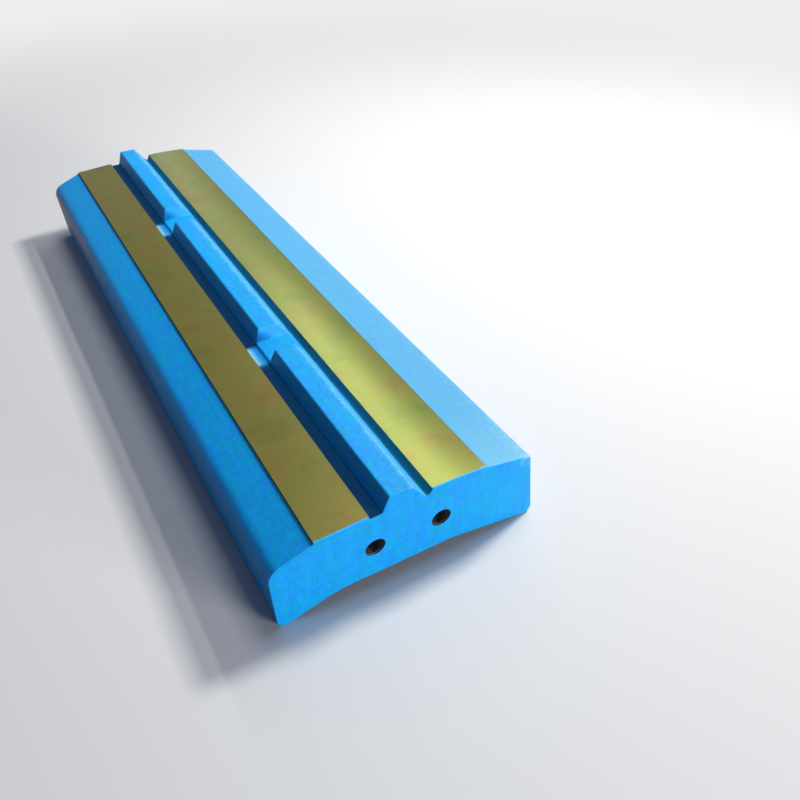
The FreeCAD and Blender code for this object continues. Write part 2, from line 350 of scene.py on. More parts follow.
streaks = add_node(tree, "ShaderNodeTexNoise", {
    "Vector": streak_place.outputs[1], "Scale": 1.0, "Detail": 4.0, "Roughness": 0.65})
streak_tone = add_node(tree, "ShaderNodeMapRange", {
    "Value": streaks, "From Min": 0.3, "From Max": 0.7, "To Min": 0.92, "To Max": 1.06})
streaked = add_node(tree, "ShaderNodeVectorMath", {
    0: coat_ramp, "Scale": streak_tone}, operation="SCALE")
mottle = add_node(tree, "ShaderNodeTexNoise", {
    "Vector": where, "Scale": 1 / (6 * MM), "Detail": 3.0, "Roughness": 0.6})
mottle_tone = add_node(tree, "ShaderNodeMapRange", {
    "Value": mottle, "From Min": 0.3, "From Max": 0.7, "To Min": 0.89, "To Max": 1.09})
mottled = add_node(tree, "ShaderNodeVectorMath", {
    0: streaked, "Scale": mottle_tone}, operation="SCALE")


def distance_from_edge(tree, edge_across, edge_up):
    """The distance from an edge that runs along the bar."""
    across = add_node(tree, "ShaderNodeMath", {
        0: place_parts.outputs["X"], 1: edge_across}, operation="SUBTRACT")
    up = add_node(tree, "ShaderNodeMath", {
        0: place_parts.outputs["Z"], 1: edge_up}, operation="SUBTRACT")
    gap = add_node(tree, "ShaderNodeCombineXYZ", {"X": across, "Z": up})
    return add_node(tree, "ShaderNodeVectorMath", {0: gap}, operation="LENGTH").outputs["Value"]


# Wear: pale chips within 18 mm of the right nose, most at the near end. Along the rib's right
# edge a pale line that is partly rubbed paint and partly painted highlight.
nose_wear = add_node(tree, "ShaderNodeMapRange", {
    "Value": distance_from_edge(tree, right_nose, right_nose_height),
    "From Min": 3 * MM, "From Max": 18 * MM, "To Min": 1.0, "To Max": 0.0})
near_wear = add_node(tree, "ShaderNodeMapRange", {
    "Value": place_parts.outputs["Y"], "From Min": -0.5, "From Max": -0.4,
    "To Min": 0.9, "To Max": 0.24})
nose_reach = add_node(tree, "ShaderNodeMath", {0: nose_wear, 1: near_wear}, operation="MULTIPLY")
# The pale line along the rib's right edge: rubbed paint and painted highlight.
rib_edge_wear_and_highlight = add_node(tree, "ShaderNodeMapRange", {
    "Value": distance_from_edge(tree, rib_right, rib_top),
    "From Min": 0.4 * MM, "From Max": 6 * MM, "To Min": 0.4, "To Max": 0.0})
wear_and_highlight_reach = add_node(tree, "ShaderNodeMath", {0: nose_reach, 1: rib_edge_wear_and_highlight}, operation="MAXIMUM")
wear_spots = add_node(tree, "ShaderNodeTexNoise", {
    "Vector": where, "Scale": 1 / (9 * MM), "Detail": 5.0, "Roughness": 0.7})
wear_share = add_node(tree, "ShaderNodeMapRange", {
    "Value": wear_spots, "From Min": 0.42, "From Max": 0.6})
wear_and_highlight = add_node(tree, "ShaderNodeMath", {0: wear_and_highlight_reach, 1: wear_share}, operation="MULTIPLY")

# Painted sheen: the right wing is painted a paler, greyer blue for its sheen, most at the near
# end.
# The rib's right flank, which faces the light, is painted paler for its highlight.
on_right_wing = add_node(tree, "ShaderNodeMapRange", {
    "Value": place_parts.outputs["X"], "From Min": right_wing_inner - 2 * MM,
    "From Max": right_wing_inner + 6 * MM})
faces_up = add_node(tree, "ShaderNodeMapRange", {
    "Value": facing_parts.outputs["Z"], "From Min": 0.6, "From Max": 0.9})
sheen_along = add_node(tree, "ShaderNodeMapRange", {
    "Value": place_parts.outputs["Y"], "From Min": -0.5, "From Max": 0.3,
    "To Min": 0.54, "To Max": 0.46})
painted_sheen_reach = add_node(tree, "ShaderNodeMath", {
    0: on_right_wing, 1: faces_up}, operation="MULTIPLY")
wing_painted_sheen = add_node(tree, "ShaderNodeMath", {0: painted_sheen_reach, 1: sheen_along}, operation="MULTIPLY")
leans_right = add_node(tree, "ShaderNodeMapRange", {
    "Value": facing_parts.outputs["X"], "From Min": 0.6, "From Max": 0.75, "To Max": 0.3})
left_of_root = add_node(tree, "ShaderNodeMath", {
    0: place_parts.outputs["X"], 1: right_root}, operation="LESS_THAN")
flank_painted_highlight = add_node(tree, "ShaderNodeMath", {
    0: leans_right, 1: left_of_root}, operation="MULTIPLY")
painted_sheen = add_node(tree, "ShaderNodeMath", {0: wing_painted_sheen, 1: flank_painted_highlight}, operation="MAXIMUM")
# A paler painted sheen close to the near end of the right wing.
near_end_sheen_along = add_node(tree, "ShaderNodeMapRange", {
    "Value": place_parts.outputs["Y"], "From Min": -0.5, "From Max": -0.41,
    "To Min": 0.16, "To Max": 0.0})
near_end_painted_sheen = add_node(tree, "ShaderNodeMath", {0: painted_sheen_reach, 1: near_end_sheen_along}, operation="MULTIPLY")

# Painted shade: dark tones in the two relief grooves, where the rib and the pads shade them, and
# along the left pad's outer edge, where its step shades the wing. Lacquer that drifted off the
# pads tints it green in the right groove and at that edge. At the notches, where light comes
# through, the left groove is mostly left unshaded, and a painted glint lies on it beside the pad.
along_bar = add_node(tree, "ShaderNodeMath", {0: place_parts.outputs["Y"]}, operation="ABSOLUTE")
past_notch = add_node(tree, "ShaderNodeMath", {
    0: along_bar, 1: notch_offset}, operation="SUBTRACT")
notch_gap = add_node(tree, "ShaderNodeMath", {0: past_notch}, operation="ABSOLUTE")
at_notch = add_node(tree, "ShaderNodeMapRange", {
    "Value": notch_gap, "From Min": 16 * MM, "From Max": 23 * MM, "To Min": 0.7, "To Max": 0.0})
above_floors = add_node(tree, "ShaderNodeMath", {
    0: place_parts.outputs["Z"], 1: right_relief_floor - 3 * MM}, operation="GREATER_THAN")
on_top = add_node(tree, "ShaderNodeMath", {
    0: above_floors, 1: on_end_face}, operation="SUBTRACT", use_clamp=True)


def share_across(tree, start, end, start_share, end_share):
    """A share that runs from one place across the bar to another, and is nought outside them."""
    ramp = add_node(tree, "ShaderNodeMapRange", {
        "Value": place_parts.outputs["X"], "From Min": start, "From Max": end,
        "To Min": start_share, "To Max": end_share})
    to_middle = add_node(tree, "ShaderNodeMath", {
        0: place_parts.outputs["X"], 1: (start + end) / 2}, operation="SUBTRACT")
    middle_away = add_node(tree, "ShaderNodeMath", {0: to_middle}, operation="ABSOLUTE")
    within = add_node(tree, "ShaderNodeMath", {
        0: middle_away, 1: abs(end - start) / 2}, operation="LESS_THAN")
    shown = add_node(tree, "ShaderNodeMath", {0: ramp, 1: within}, operation="MULTIPLY")
    return add_node(tree, "ShaderNodeMath", {0: shown, 1: on_top}, operation="MULTIPLY")


# Painted shade in the left groove, mostly left off at the notches.
left_groove_painted_shade = share_across(tree, left_root + 1 * MM, left_pad_inner - 0.3 * MM, 0.7, 0.96)
kept_at_notch = add_node(tree, "ShaderNodeMath", {0: 1, 1: at_notch}, operation="SUBTRACT")
left_groove_shade_kept = add_node(tree, "ShaderNodeMath", {
    0: left_groove_painted_shade, 1: kept_at_notch}, operation="MULTIPLY")
# Painted shade along the left pad's outer edge and in the right groove.
pad_edge_painted_shade = share_across(tree, left_wing_inner - 3.2 * MM, left_pad_outer + 0.1 * MM, 0.2, 0.9)
right_groove_painted_shade = share_across(tree, right_root - 2 * MM, right_pad_inner + 0.3 * MM, 0.5, 0.84)
side_painted_shade = add_node(tree, "ShaderNodeMath", {0: pad_edge_painted_shade, 1: right_groove_painted_shade}, operation="MAXIMUM")
painted_shade = add_node(tree, "ShaderNodeMath", {0: left_groove_shade_kept, 1: side_painted_shade}, operation="MAXIMUM")
# A painted glint beside the left pad, where light comes through the notches.
beside_pad = share_across(tree, left_relief_outer + 8 * MM, left_pad_inner - 0.3 * MM, 0.05, 1.1)
notch_painted_glint = add_node(tree, "ShaderNodeMath", {0: beside_pad, 1: at_notch}, operation="MULTIPLY")

# The bare patch: dust on thin primer, high on the left side towards the far end.
left_side = add_node(tree, "ShaderNodeMapRange", {
    "Value": facing_parts.outputs["X"], "From Min": -0.8, "From Max": -0.95})
patch_start = add_node(tree, "ShaderNodeMapRange", {
    "Value": place_parts.outputs["Y"], "From Min": 0.05, "From Max": 0.3})
patch_high = add_node(tree, "ShaderNodeMapRange", {
    "Value": place_parts.outputs["Z"], "From Min": 36 * MM, "From Max": 72 * MM})
beside_nose = add_node(tree, "ShaderNodeMath", {
    0: place_parts.outputs["X"], 1: left_nose + 12 * MM}, operation="LESS_THAN")
patch_end = add_node(tree, "ShaderNodeMath", {0: left_side, 1: patch_start}, operation="MULTIPLY")
patch_band = add_node(tree, "ShaderNodeMath", {
    0: patch_high, 1: beside_nose}, operation="MULTIPLY")
patch_reach = add_node(tree, "ShaderNodeMath", {0: patch_end, 1: patch_band}, operation="MULTIPLY")
patch_edge = add_node(tree, "ShaderNodeTexNoise", {
    "Vector": where, "Scale": 1 / (24 * MM), "Detail": 5.0, "Roughness": 0.7})
patch_sum = add_node(tree, "ShaderNodeMath", {0: patch_reach, 1: patch_edge}, operation="MULTIPLY")
patch = add_node(tree, "ShaderNodeMapRange", {
    "Value": patch_sum, "From Min": 0.16, "From Max": 0.36, "To Max": 0.85})

# Each tone is laid over the ones before it, by its own share: pale wear with painted highlight,
# painted sheen, painted sheen at the near end, painted shade in the grooves and at the pad's edge,
# a painted glint at the notches, and the dusty patch.
finish = mottled.outputs[0]
for share, tone in ((wear_and_highlight, "#A2C8DC"), (painted_sheen, "#6C9CA8"), (near_end_painted_sheen, "#9CDCE0"),
                    (left_groove_shade_kept, "#03284C"), (pad_edge_painted_shade, "#044050"),
                    (right_groove_painted_shade, "#1A6848"), (notch_painted_glint, "#A4DAD8"), (patch, "#A49AA8")):
    finish = add_node(tree, "ShaderNodeMix", {
        0: share, 6: finish, 7: linear(tone)}, data_type="RGBA").outputs[2]
tree.links.new(finish, shader.inputs["Base Color"])
gloss = add_node(tree, "ShaderNodeMapRange", {
    "Value": coats, "From Min": 0.3, "From Max": 0.7, "To Min": 0.56, "To Max": 0.44})
# Rougher where the shade is painted.
matt_in_painted_shade = add_node(tree, "ShaderNodeMix", {0: painted_shade, 2: gloss, 3: 0.95})
tree.links.new(matt_in_painted_shade.outputs[0], shader.inputs["Roughness"])
shader.inputs["Specular IOR Level"].default_value = 0.22
grain = add_node(tree, "ShaderNodeTexNoise", {
    "Vector": where, "Scale": 1 / (3 * MM), "Detail": 4.0, "Roughness": 0.6})
grain_bump = add_node(tree, "ShaderNodeBump", {
    "Height": grain, "Strength": 0.35, "Distance": 0.5 * MM})
streak_bump = add_node(tree, "ShaderNodeBump", {
    "Height": streaks, "Strength": 0.3, "Distance": 0.5 * MM, "Normal": grain_bump})
tree.links.new(streak_bump.outputs[0], shader.inputs["Normal"])

tree, given, result = new_tree("cast_along_the_length", {
    "Stations": "Object", "Outline Points": "Int", "Length": "Float", "End Rounding": "Float",
    "Rib From": "Float", "Rib To": "Float", "Notch Offset": "Float", "Notch Floor Run": "Float",
    "Notch Floor Height": "Float", "Notch Wall Lean": "Float", "Root Blend": "Float",
    "Key Blend": "Float", "Left Pad From": "Float", "Left Pad To": "Float",
    "Right Pad From": "Float", "Right Pad To": "Float", "Pad Level": "Float",
    "Cut Above": "Float", "Relief Depth": "Float", "Relief Size": "Float", "Seed": "Float",
    "Enamel": "Material"})
given = given.outputs
spine_points = add_node(tree, "GeometryNodeObjectInfo", {"Object": given["Stations"]})
station_count = add_node(tree, "GeometryNodeAttributeDomainSize",
                         {"Geometry": spine_points.outputs["Geometry"]})
column_count = add_node(tree, "ShaderNodeMath", {
    0: given["Outline Points"], 1: 1}, operation="ADD")
skin = add_node(tree, "GeometryNodeMeshGrid", {
    "Vertices X": column_count, "Vertices Y": station_count.outputs["Point Count"]})
index = add_node(tree, "GeometryNodeInputIndex")
column_part = add_node(tree, "ShaderNodeMath", {
    0: index, 1: station_count.outputs["Point Count"]}, operation="DIVIDE")
column = add_node(tree, "ShaderNodeMath", {0: column_part}, operation="FLOOR")
outline_index = add_node(tree, "ShaderNodeMath", {
    0: column, 1: given["Outline Points"]}, operation="MODULO")
station_index = add_node(tree, "ShaderNodeMath", {
    0: index, 1: station_count.outputs["Point Count"]}, operation="MODULO")
position = add_node(tree, "GeometryNodeInputPosition")
section_point = add_node(tree, "GeometryNodeSampleIndex", {
    "Geometry": given["Geometry"], "Value": position,
    "Index": outline_index}, data_type="FLOAT_VECTOR", clamp=False)
outward_field = add_node(tree, "GeometryNodeInputNamedAttribute", {"Name": "outward"},
                         data_type="FLOAT_VECTOR")
section_outward = add_node(tree, "GeometryNodeSampleIndex", {
    "Geometry": given["Geometry"], "Value": outward_field.outputs["Attribute"],
    "Index": outline_index}, data_type="FLOAT_VECTOR")
station_point = add_node(tree, "GeometryNodeSampleIndex", {
    "Geometry": spine_points.outputs["Geometry"], "Value": position,
    "Index": station_index}, data_type="FLOAT_VECTOR")

# The reach is nought at the end face and grows along a quarter circle to the full section.
station_parts = add_node(tree, "ShaderNodeSeparateXYZ", {0: station_point})
from_middle = add_node(tree, "ShaderNodeMath", {
    0: station_parts.outputs["Y"]}, operation="ABSOLUTE")
half_length = add_node(tree, "ShaderNodeMath", {0: given["Length"], 1: 0.5}, operation="MULTIPLY")
from_end = add_node(tree, "ShaderNodeMath", {0: half_length, 1: from_middle}, operation="SUBTRACT")
short_of = add_node(tree, "ShaderNodeMath", {
    0: given["End Rounding"], 1: from_end}, operation="SUBTRACT", use_clamp=True)
short_square = add_node(tree, "ShaderNodeMath", {0: short_of, 1: short_of}, operation="MULTIPLY")
round_square = add_node(tree, "ShaderNodeMath", {
    0: given["End Rounding"], 1: given["End Rounding"]}, operation="MULTIPLY")
reach_square = add_node(tree, "ShaderNodeMath", {
    0: round_square, 1: short_square}, operation="SUBTRACT", use_clamp=True)
reach_out = add_node(tree, "ShaderNodeMath", {0: reach_square}, operation="SQRT")
grow = add_node(tree, "ShaderNodeVectorMath", {
    0: section_outward, "Scale": reach_out}, operation="SCALE")
section_full = add_node(tree, "ShaderNodeVectorMath", {0: section_point, 1: grow}, operation="ADD")
full_parts = add_node(tree, "ShaderNodeSeparateXYZ", {0: section_full})

# The notch cut: a floor with walls that lean outwards, smoothly joined, kept to the rib.
from_notch = add_node(tree, "ShaderNodeMath", {
    0: from_middle, 1: given["Notch Offset"]}, operation="SUBTRACT")
notch_away = add_node(tree, "ShaderNodeMath", {0: from_notch}, operation="ABSOLUTE")
past_floor = add_node(tree, "ShaderNodeMath", {
    0: notch_away, 1: given["Notch Floor Run"]}, operation="SUBTRACT")
wall_rise = add_node(tree, "ShaderNodeMath", {
    0: past_floor, 1: given["Notch Wall Lean"]}, operation="DIVIDE")
wall_height = add_node(tree, "ShaderNodeMath", {
    0: wall_rise, 1: given["Notch Floor Height"]}, operation="ADD")
cut_height = add_node(tree, "ShaderNodeMath", {
    0: wall_height, 1: given["Notch Floor Height"], 2: given["Root Blend"]},
    operation="SMOOTH_MAX")
cut_point = add_node(tree, "ShaderNodeMath", {
    0: full_parts.outputs["Z"], 1: cut_height, 2: given["Key Blend"]},
    operation="SMOOTH_MIN")
past_left = add_node(tree, "ShaderNodeMath", {
    0: full_parts.outputs["X"], 1: given["Rib From"]}, operation="GREATER_THAN")
short_of_right = add_node(tree, "ShaderNodeMath", {
    0: full_parts.outputs["X"], 1: given["Rib To"]}, operation="LESS_THAN")
above_floor = add_node(tree, "ShaderNodeMath", {
    0: full_parts.outputs["Z"], 1: given["Cut Above"]}, operation="GREATER_THAN")
across_rib = add_node(tree, "ShaderNodeMath", {
    0: past_left, 1: short_of_right}, operation="MULTIPLY")
on_rib = add_node(tree, "ShaderNodeMath", {0: across_rib, 1: above_floor}, operation="MULTIPLY")
height = add_node(tree, "ShaderNodeMix", {0: on_rib, 2: full_parts.outputs["Z"], 3: cut_point})
place = add_node(tree, "ShaderNodeCombineXYZ", {
    "X": full_parts.outputs["X"], "Y": station_parts.outputs["Y"], "Z": height})
placed = add_node(tree, "GeometryNodeSetPosition", {
    "Geometry": skin.outputs["Mesh"], "Position": place})
outer_skin = add_node(tree, "GeometryNodeFlipFaces", {"Mesh": placed})

# The end faces close the skin. The far one is the near one carried along and turned out.
near_shift = add_node(tree, "ShaderNodeMath", {0: half_length, 1: -1}, operation="MULTIPLY")
near_place = add_node(tree, "ShaderNodeCombineXYZ", {"Y": near_shift})
far_place = add_node(tree, "ShaderNodeCombineXYZ", {"Y": half_length})
near_end = add_node(tree, "GeometryNodeTransform", {
    "Geometry": given["Geometry"], "Translation": near_place})
far_end = add_node(tree, "GeometryNodeTransform", {
    "Geometry": given["Geometry"], "Translation": far_place})
far_out = add_node(tree, "GeometryNodeFlipFaces", {"Mesh": far_end})
shell = add_node(tree, "GeometryNodeJoinGeometry", {"Geometry": outer_skin})
tree.links.new(near_end.outputs[0], shell.inputs[0])
tree.links.new(far_out.outputs[0], shell.inputs[0])
weld_gap = 0.02 * MM
closed = add_node(tree, "GeometryNodeMergeByDistance", {"Geometry": shell, "Distance": weld_gap})

# Cast faces sink by an uneven amount, as sand leaves them. Machined faces and feet stay true.
here = add_node(tree, "ShaderNodeSeparateXYZ", {0: position})
away = []
for low, high in (("Left Pad From", "Left Pad To"), ("Right Pad From", "Right Pad To")):
    before = add_node(tree, "ShaderNodeMath", {
        0: given[low], 1: here.outputs["X"]}, operation="SUBTRACT")
    after = add_node(tree, "ShaderNodeMath", {
        0: here.outputs["X"], 1: given[high]}, operation="SUBTRACT")
    away.append(add_node(tree, "ShaderNodeMath", {0: before, 1: after}, operation="MAXIMUM"))
pad_away = add_node(tree, "ShaderNodeMath", {0: away[0], 1: away[1]}, operation="MINIMUM")
below_pad = add_node(tree, "ShaderNodeMath", {
    0: given["Pad Level"], 1: here.outputs["Z"]}, operation="SUBTRACT")
from_pads = add_node(tree, "ShaderNodeMath", {0: pad_away, 1: below_pad}, operation="MAXIMUM")
off_pads = add_node(tree, "ShaderNodeMapRange", {
    "Value": from_pads, "From Min": 0.5 * MM, "From Max": 4 * MM},
    interpolation_type="SMOOTHSTEP")
off_feet = add_node(tree, "ShaderNodeMapRange", {
    "Value": here.outputs["Z"], "From Min": 0.2 * MM, "From Max": 3 * MM},
    interpolation_type="SMOOTHSTEP")
held_here = add_node(tree, "GeometryNodeInputNamedAttribute", {"Name": "held"}, data_type="FLOAT")
free = add_node(tree, "ShaderNodeMath", {
    0: 1, 1: held_here.outputs["Attribute"]}, operation="SUBTRACT")
rough_cast = add_node(tree, "ShaderNodeMath", {0: off_pads, 1: off_feet}, operation="MULTIPLY")
cast = add_node(tree, "ShaderNodeMath", {0: rough_cast, 1: free}, operation="MULTIPLY")
waves = add_node(tree, "ShaderNodeTexNoise", {
    "Vector": position, "W": given["Seed"], "Detail": 3.0, "Roughness": 0.55},
    noise_dimensions="4D")
wave_scale = add_node(tree, "ShaderNodeMath", {0: 1, 1: given["Relief Size"]}, operation="DIVIDE")
tree.links.new(wave_scale.outputs[0], waves.inputs["Scale"])
sink = add_node(tree, "ShaderNodeMath", {0: waves, 1: cast}, operation="MULTIPLY")
sink_depth = add_node(tree, "ShaderNodeMath", {
    0: sink, 1: given["Relief Depth"]}, operation="MULTIPLY")
inwards = add_node(tree, "ShaderNodeMath", {0: sink_depth, 1: -1}, operation="MULTIPLY")
normal = add_node(tree, "GeometryNodeInputNormal")
shift = add_node(tree, "ShaderNodeVectorMath", {0: normal, "Scale": inwards}, operation="SCALE")
sunk = add_node(tree, "GeometryNodeSetPosition", {"Geometry": closed, "Offset": shift})

enamelled = add_node(tree, "GeometryNodeSetMaterial", {
    "Geometry": sunk, "Material": given["Enamel"]})
sharp_from = math.radians(32)
edge_angle = add_node(tree, "GeometryNodeInputMeshEdgeAngle")
soft_edge = add_node(tree, "ShaderNodeMath", {
    0: edge_angle.outputs["Unsigned Angle"], 1: sharp_from}, operation="LESS_THAN")
smooth_faces = add_node(tree, "GeometryNodeSetShadeSmooth", {"Geometry": enamelled}, domain="FACE")
smooth_edges = add_node(tree, "GeometryNodeSetShadeSmooth", {
    "Geometry": smooth_faces, "Shade Smooth": soft_edge}, domain="EDGE")
tree.links.new(smooth_edges.outputs[0], result.inputs[0])

cast_bar = grown(end_face, tree, {
    "Stations": spine_object, "Outline Points": len(outline), "Length": bar_length,
    "End Rounding": end_edge_radius, "Rib From": left_root - 1 * MM,
    "Rib To": right_root + 0.5 * MM, "Notch Offset": notch_offset,
    "Notch Floor Run": notch_floor_run, "Notch Floor Height": left_pad_height,
    "Notch Wall Lean": notch_wall_lean,
    "Root Blend": 5 * MM, "Key Blend": 6 * MM, "Left Pad From": left_pad_outer,
    "Left Pad To": left_pad_inner, "Right Pad From": right_pad_inner,
    "Right Pad To": right_pad_outer, "Pad Level": left_pad_low - 3 * MM, "Cut Above": 105 * MM,
    "Relief Depth": 0.9 * MM, "Relief Size": 45 * MM, "Seed": 3.0, "Enamel": enamel}, "cast_bar")
bpy.data.objects.remove(spine_object)

# The two pads beside the rib: the casting's own metal, ground across the bar so that it seats on
# the rotor, and lacquered against rust. The lacquer is thin and uneven: olive, gold, and greener
# on the right pad. The grinding lines are drawn 4 mm apart, as real ones are too fine to show.
pad_metal = bpy.data.materials.new("lacquered_ground_white_iron")
pad_metal.use_nodes = True
tree = pad_metal.node_tree
shader = tree.nodes["Principled BSDF"]
where = add_node(tree, "ShaderNodeTexCoord").outputs["Object"]
film = add_node(tree, "ShaderNodeTexNoise", {
    "Vector": where, "Scale": 1 / (60 * MM), "Detail": 4.0, "Roughness": 0.55})
across_bar = add_node(tree, "ShaderNodeSeparateXYZ", {0: where})
greener = add_node(tree, "ShaderNodeMapRange", {
    "Value": across_bar.outputs["X"], "From Min": left_pad_inner, "From Max": right_pad_inner})
film_ramp = add_node(tree, "ShaderNodeValToRGB", {0: film})
film_tone = add_node(tree, "ShaderNodeMix", {
    0: greener, 6: film_ramp, 7: linear("#DEF0E8")},
    data_type="RGBA", blend_type="MULTIPLY")
lacquer_tones = [(0.28, "#88894A"), (0.46, "#96944C"), (0.57, "#9C904C"), (0.72, "#98824A")]
film_stops = film_ramp.color_ramp.elements
while len(film_stops) < len(lacquer_tones):
    film_stops.new(0.5)
for stop, (level, tone) in zip(film_stops, lacquer_tones):
    stop.position = level
    stop.color = linear(tone)
grinding_scale = add_node(tree, "ShaderNodeMapping", {"Vector": where, "Scale": (6, 260, 6)})
grinding = add_node(tree, "ShaderNodeTexNoise", {
    "Vector": grinding_scale, "Scale": 1.0, "Detail": 2.0, "Roughness": 0.7})
grind_tone = add_node(tree, "ShaderNodeMapRange", {
    "Value": grinding, "From Min": 0.3, "From Max": 0.7, "To Min": 0.97, "To Max": 1.03})
ground = add_node(tree, "ShaderNodeVectorMath", {
    0: film_tone.outputs[2], "Scale": grind_tone}, operation="SCALE")
tree.links.new(ground.outputs[0], shader.inputs["Base Color"])
shader.inputs["Metallic"].default_value = 0.72
shader.inputs["Roughness"].default_value = 0.285
grind_bump = add_node(tree, "ShaderNodeBump", {
    "Height": grinding, "Strength": 0.06, "Distance": 0.05 * MM})
tree.links.new(grind_bump.outputs[0], shader.inputs["Normal"])

cast_bar.materials.clear()
cast_bar.materials.append(enamel)
cast_bar.materials.append(pad_metal)
pad_spans = ((left_pad_outer, left_pad_inner), (right_pad_inner, right_pad_outer))
for face in cast_bar.polygons:
    on_pad = any(low < face.center.x < high for low, high in pad_spans)
    inside_ends = abs(face.center.y) < bar_length / 2 - end_edge_radius
    face.material_index = on_pad and inside_ends and face.center.z > left_pad_low - 1 * MM

# Two lifting holes in each end: drilled, countersunk and tapped M24 x 3 after casting, for an eye
# bolt. The thread is left bare, so it is dark with oil and a little rust.
hole_bore_radius = 10.5 * MM
thread_groove_radius = 12 * MM
thread_pitch = 3 * MM
drilled_depth = 60 * MM
tapped_depth = 52 * MM
drill_point_lean = math.tan(math.radians(59))
wall_rows = 106
hole_tree, given, result = new_tree("tapped_holes", {
    "Segments": "Int", "Rows": "Int", "Mouth Radius": "Float", "Bore Radius": "Float",
    "Groove Radius": "Float", "Pitch": "Float", "Drilled Depth": "Float", "Tapped Depth": "Float",
    "Drill Point Lean": "Float", "Bare Metal": "Material"})
tree, given = hole_tree, given.outputs
columns_in_wall = add_node(tree, "ShaderNodeMath", {0: given["Segments"], 1: 1}, operation="ADD")
wall = add_node(tree, "GeometryNodeMeshGrid", {
    "Vertices X": columns_in_wall, "Vertices Y": given["Rows"]})
index = add_node(tree, "GeometryNodeInputIndex")
row_in = add_node(tree, "ShaderNodeMath", {0: index, 1: given["Rows"]}, operation="MODULO")
turn_part = add_node(tree, "ShaderNodeMath", {0: index, 1: given["Rows"]}, operation="DIVIDE")
turn_step = add_node(tree, "ShaderNodeMath", {0: turn_part}, operation="FLOOR")
turn = add_node(tree, "ShaderNodeMath", {0: turn_step, 1: given["Segments"]}, operation="DIVIDE")
angle = add_node(tree, "ShaderNodeMath", {0: turn, 1: 2 * math.pi}, operation="MULTIPLY")
last_row = add_node(tree, "ShaderNodeMath", {0: given["Rows"], 1: 1}, operation="SUBTRACT")
row_share = add_node(tree, "ShaderNodeMath", {0: row_in, 1: last_row}, operation="DIVIDE")
point_depth = add_node(tree, "ShaderNodeMath", {
    0: given["Bore Radius"], 1: given["Drill Point Lean"]}, operation="DIVIDE")
whole_depth = add_node(tree, "ShaderNodeMath", {
    0: given["Drilled Depth"], 1: point_depth}, operation="ADD")
depth = add_node(tree, "ShaderNodeMath", {0: row_share, 1: whole_depth}, operation="MULTIPLY")
# The thread is a sharp zigzag that climbs one pitch each turn and fades out at both ends.
turns_in = add_node(tree, "ShaderNodeMath", {0: depth, 1: given["Pitch"]}, operation="DIVIDE")
phase = add_node(tree, "ShaderNodeMath", {0: turns_in, 1: turn}, operation="SUBTRACT")
groove = add_node(tree, "ShaderNodeMath", {0: phase, 1: 0.5}, operation="PINGPONG")
groove_share = add_node(tree, "ShaderNodeMath", {0: groove, 1: 2}, operation="MULTIPLY")
groove_depth = add_node(tree, "ShaderNodeMath", {
    0: given["Groove Radius"], 1: given["Bore Radius"]}, operation="SUBTRACT")
cut = add_node(tree, "ShaderNodeMath", {0: groove_share, 1: groove_depth}, operation="MULTIPLY")
fade = add_node(tree, "ShaderNodeMapRange", {
    "Value": depth, "From Min": given["Tapped Depth"], "To Min": 1.0, "To Max": 0.0,
    "From Max": given["Drilled Depth"]})
fading_cut = add_node(tree, "ShaderNodeMath", {0: cut, 1: fade}, operation="MULTIPLY")
threaded = add_node(tree, "ShaderNodeMath", {
    0: given["Bore Radius"], 1: fading_cut}, operation="ADD")
sink_cone = add_node(tree, "ShaderNodeMath", {
    0: given["Mouth Radius"], 1: depth}, operation="SUBTRACT")
opened = add_node(tree, "ShaderNodeMath", {0: threaded, 1: sink_cone}, operation="MAXIMUM")
left_to_tip = add_node(tree, "ShaderNodeMath", {0: whole_depth, 1: depth}, operation="SUBTRACT")
point_cone = add_node(tree, "ShaderNodeMath", {
    0: left_to_tip, 1: given["Drill Point Lean"]}, operation="MULTIPLY")
radius = add_node(tree, "ShaderNodeMath", {0: opened, 1: point_cone}, operation="MINIMUM")
cosine = add_node(tree, "ShaderNodeMath", {0: angle}, operation="COSINE")
sine = add_node(tree, "ShaderNodeMath", {0: angle}, operation="SINE")
across = add_node(tree, "ShaderNodeMath", {0: cosine, 1: radius}, operation="MULTIPLY")
up = add_node(tree, "ShaderNodeMath", {0: sine, 1: radius}, operation="MULTIPLY")
wall_place = add_node(tree, "ShaderNodeCombineXYZ", {"X": across, "Y": depth, "Z": up})
hole_wall = add_node(tree, "GeometryNodeSetPosition", {
    "Geometry": wall.outputs["Mesh"], "Position": wall_place})
facing = add_node(tree, "GeometryNodeInputNamedAttribute", {"Name": "facing"}, data_type="FLOAT")
facing_turn = add_node(tree, "ShaderNodeCombineXYZ", {"Z": facing.outputs["Attribute"]})
holes = add_node(tree, "GeometryNodeInstanceOnPoints", {
    "Points": given["Geometry"], "Instance": hole_wall, "Rotation": facing_turn})
real_holes = add_node(tree, "GeometryNodeRealizeInstances", {"Geometry": holes})
sealed = add_node(tree, "GeometryNodeMergeByDistance", {
    "Geometry": real_holes, "Distance": weld_gap})
bare = add_node(tree, "GeometryNodeSetMaterial", {
    "Geometry": sealed, "Material": given["Bare Metal"]})
tree.links.new(bare.outputs[0], result.inputs[0])

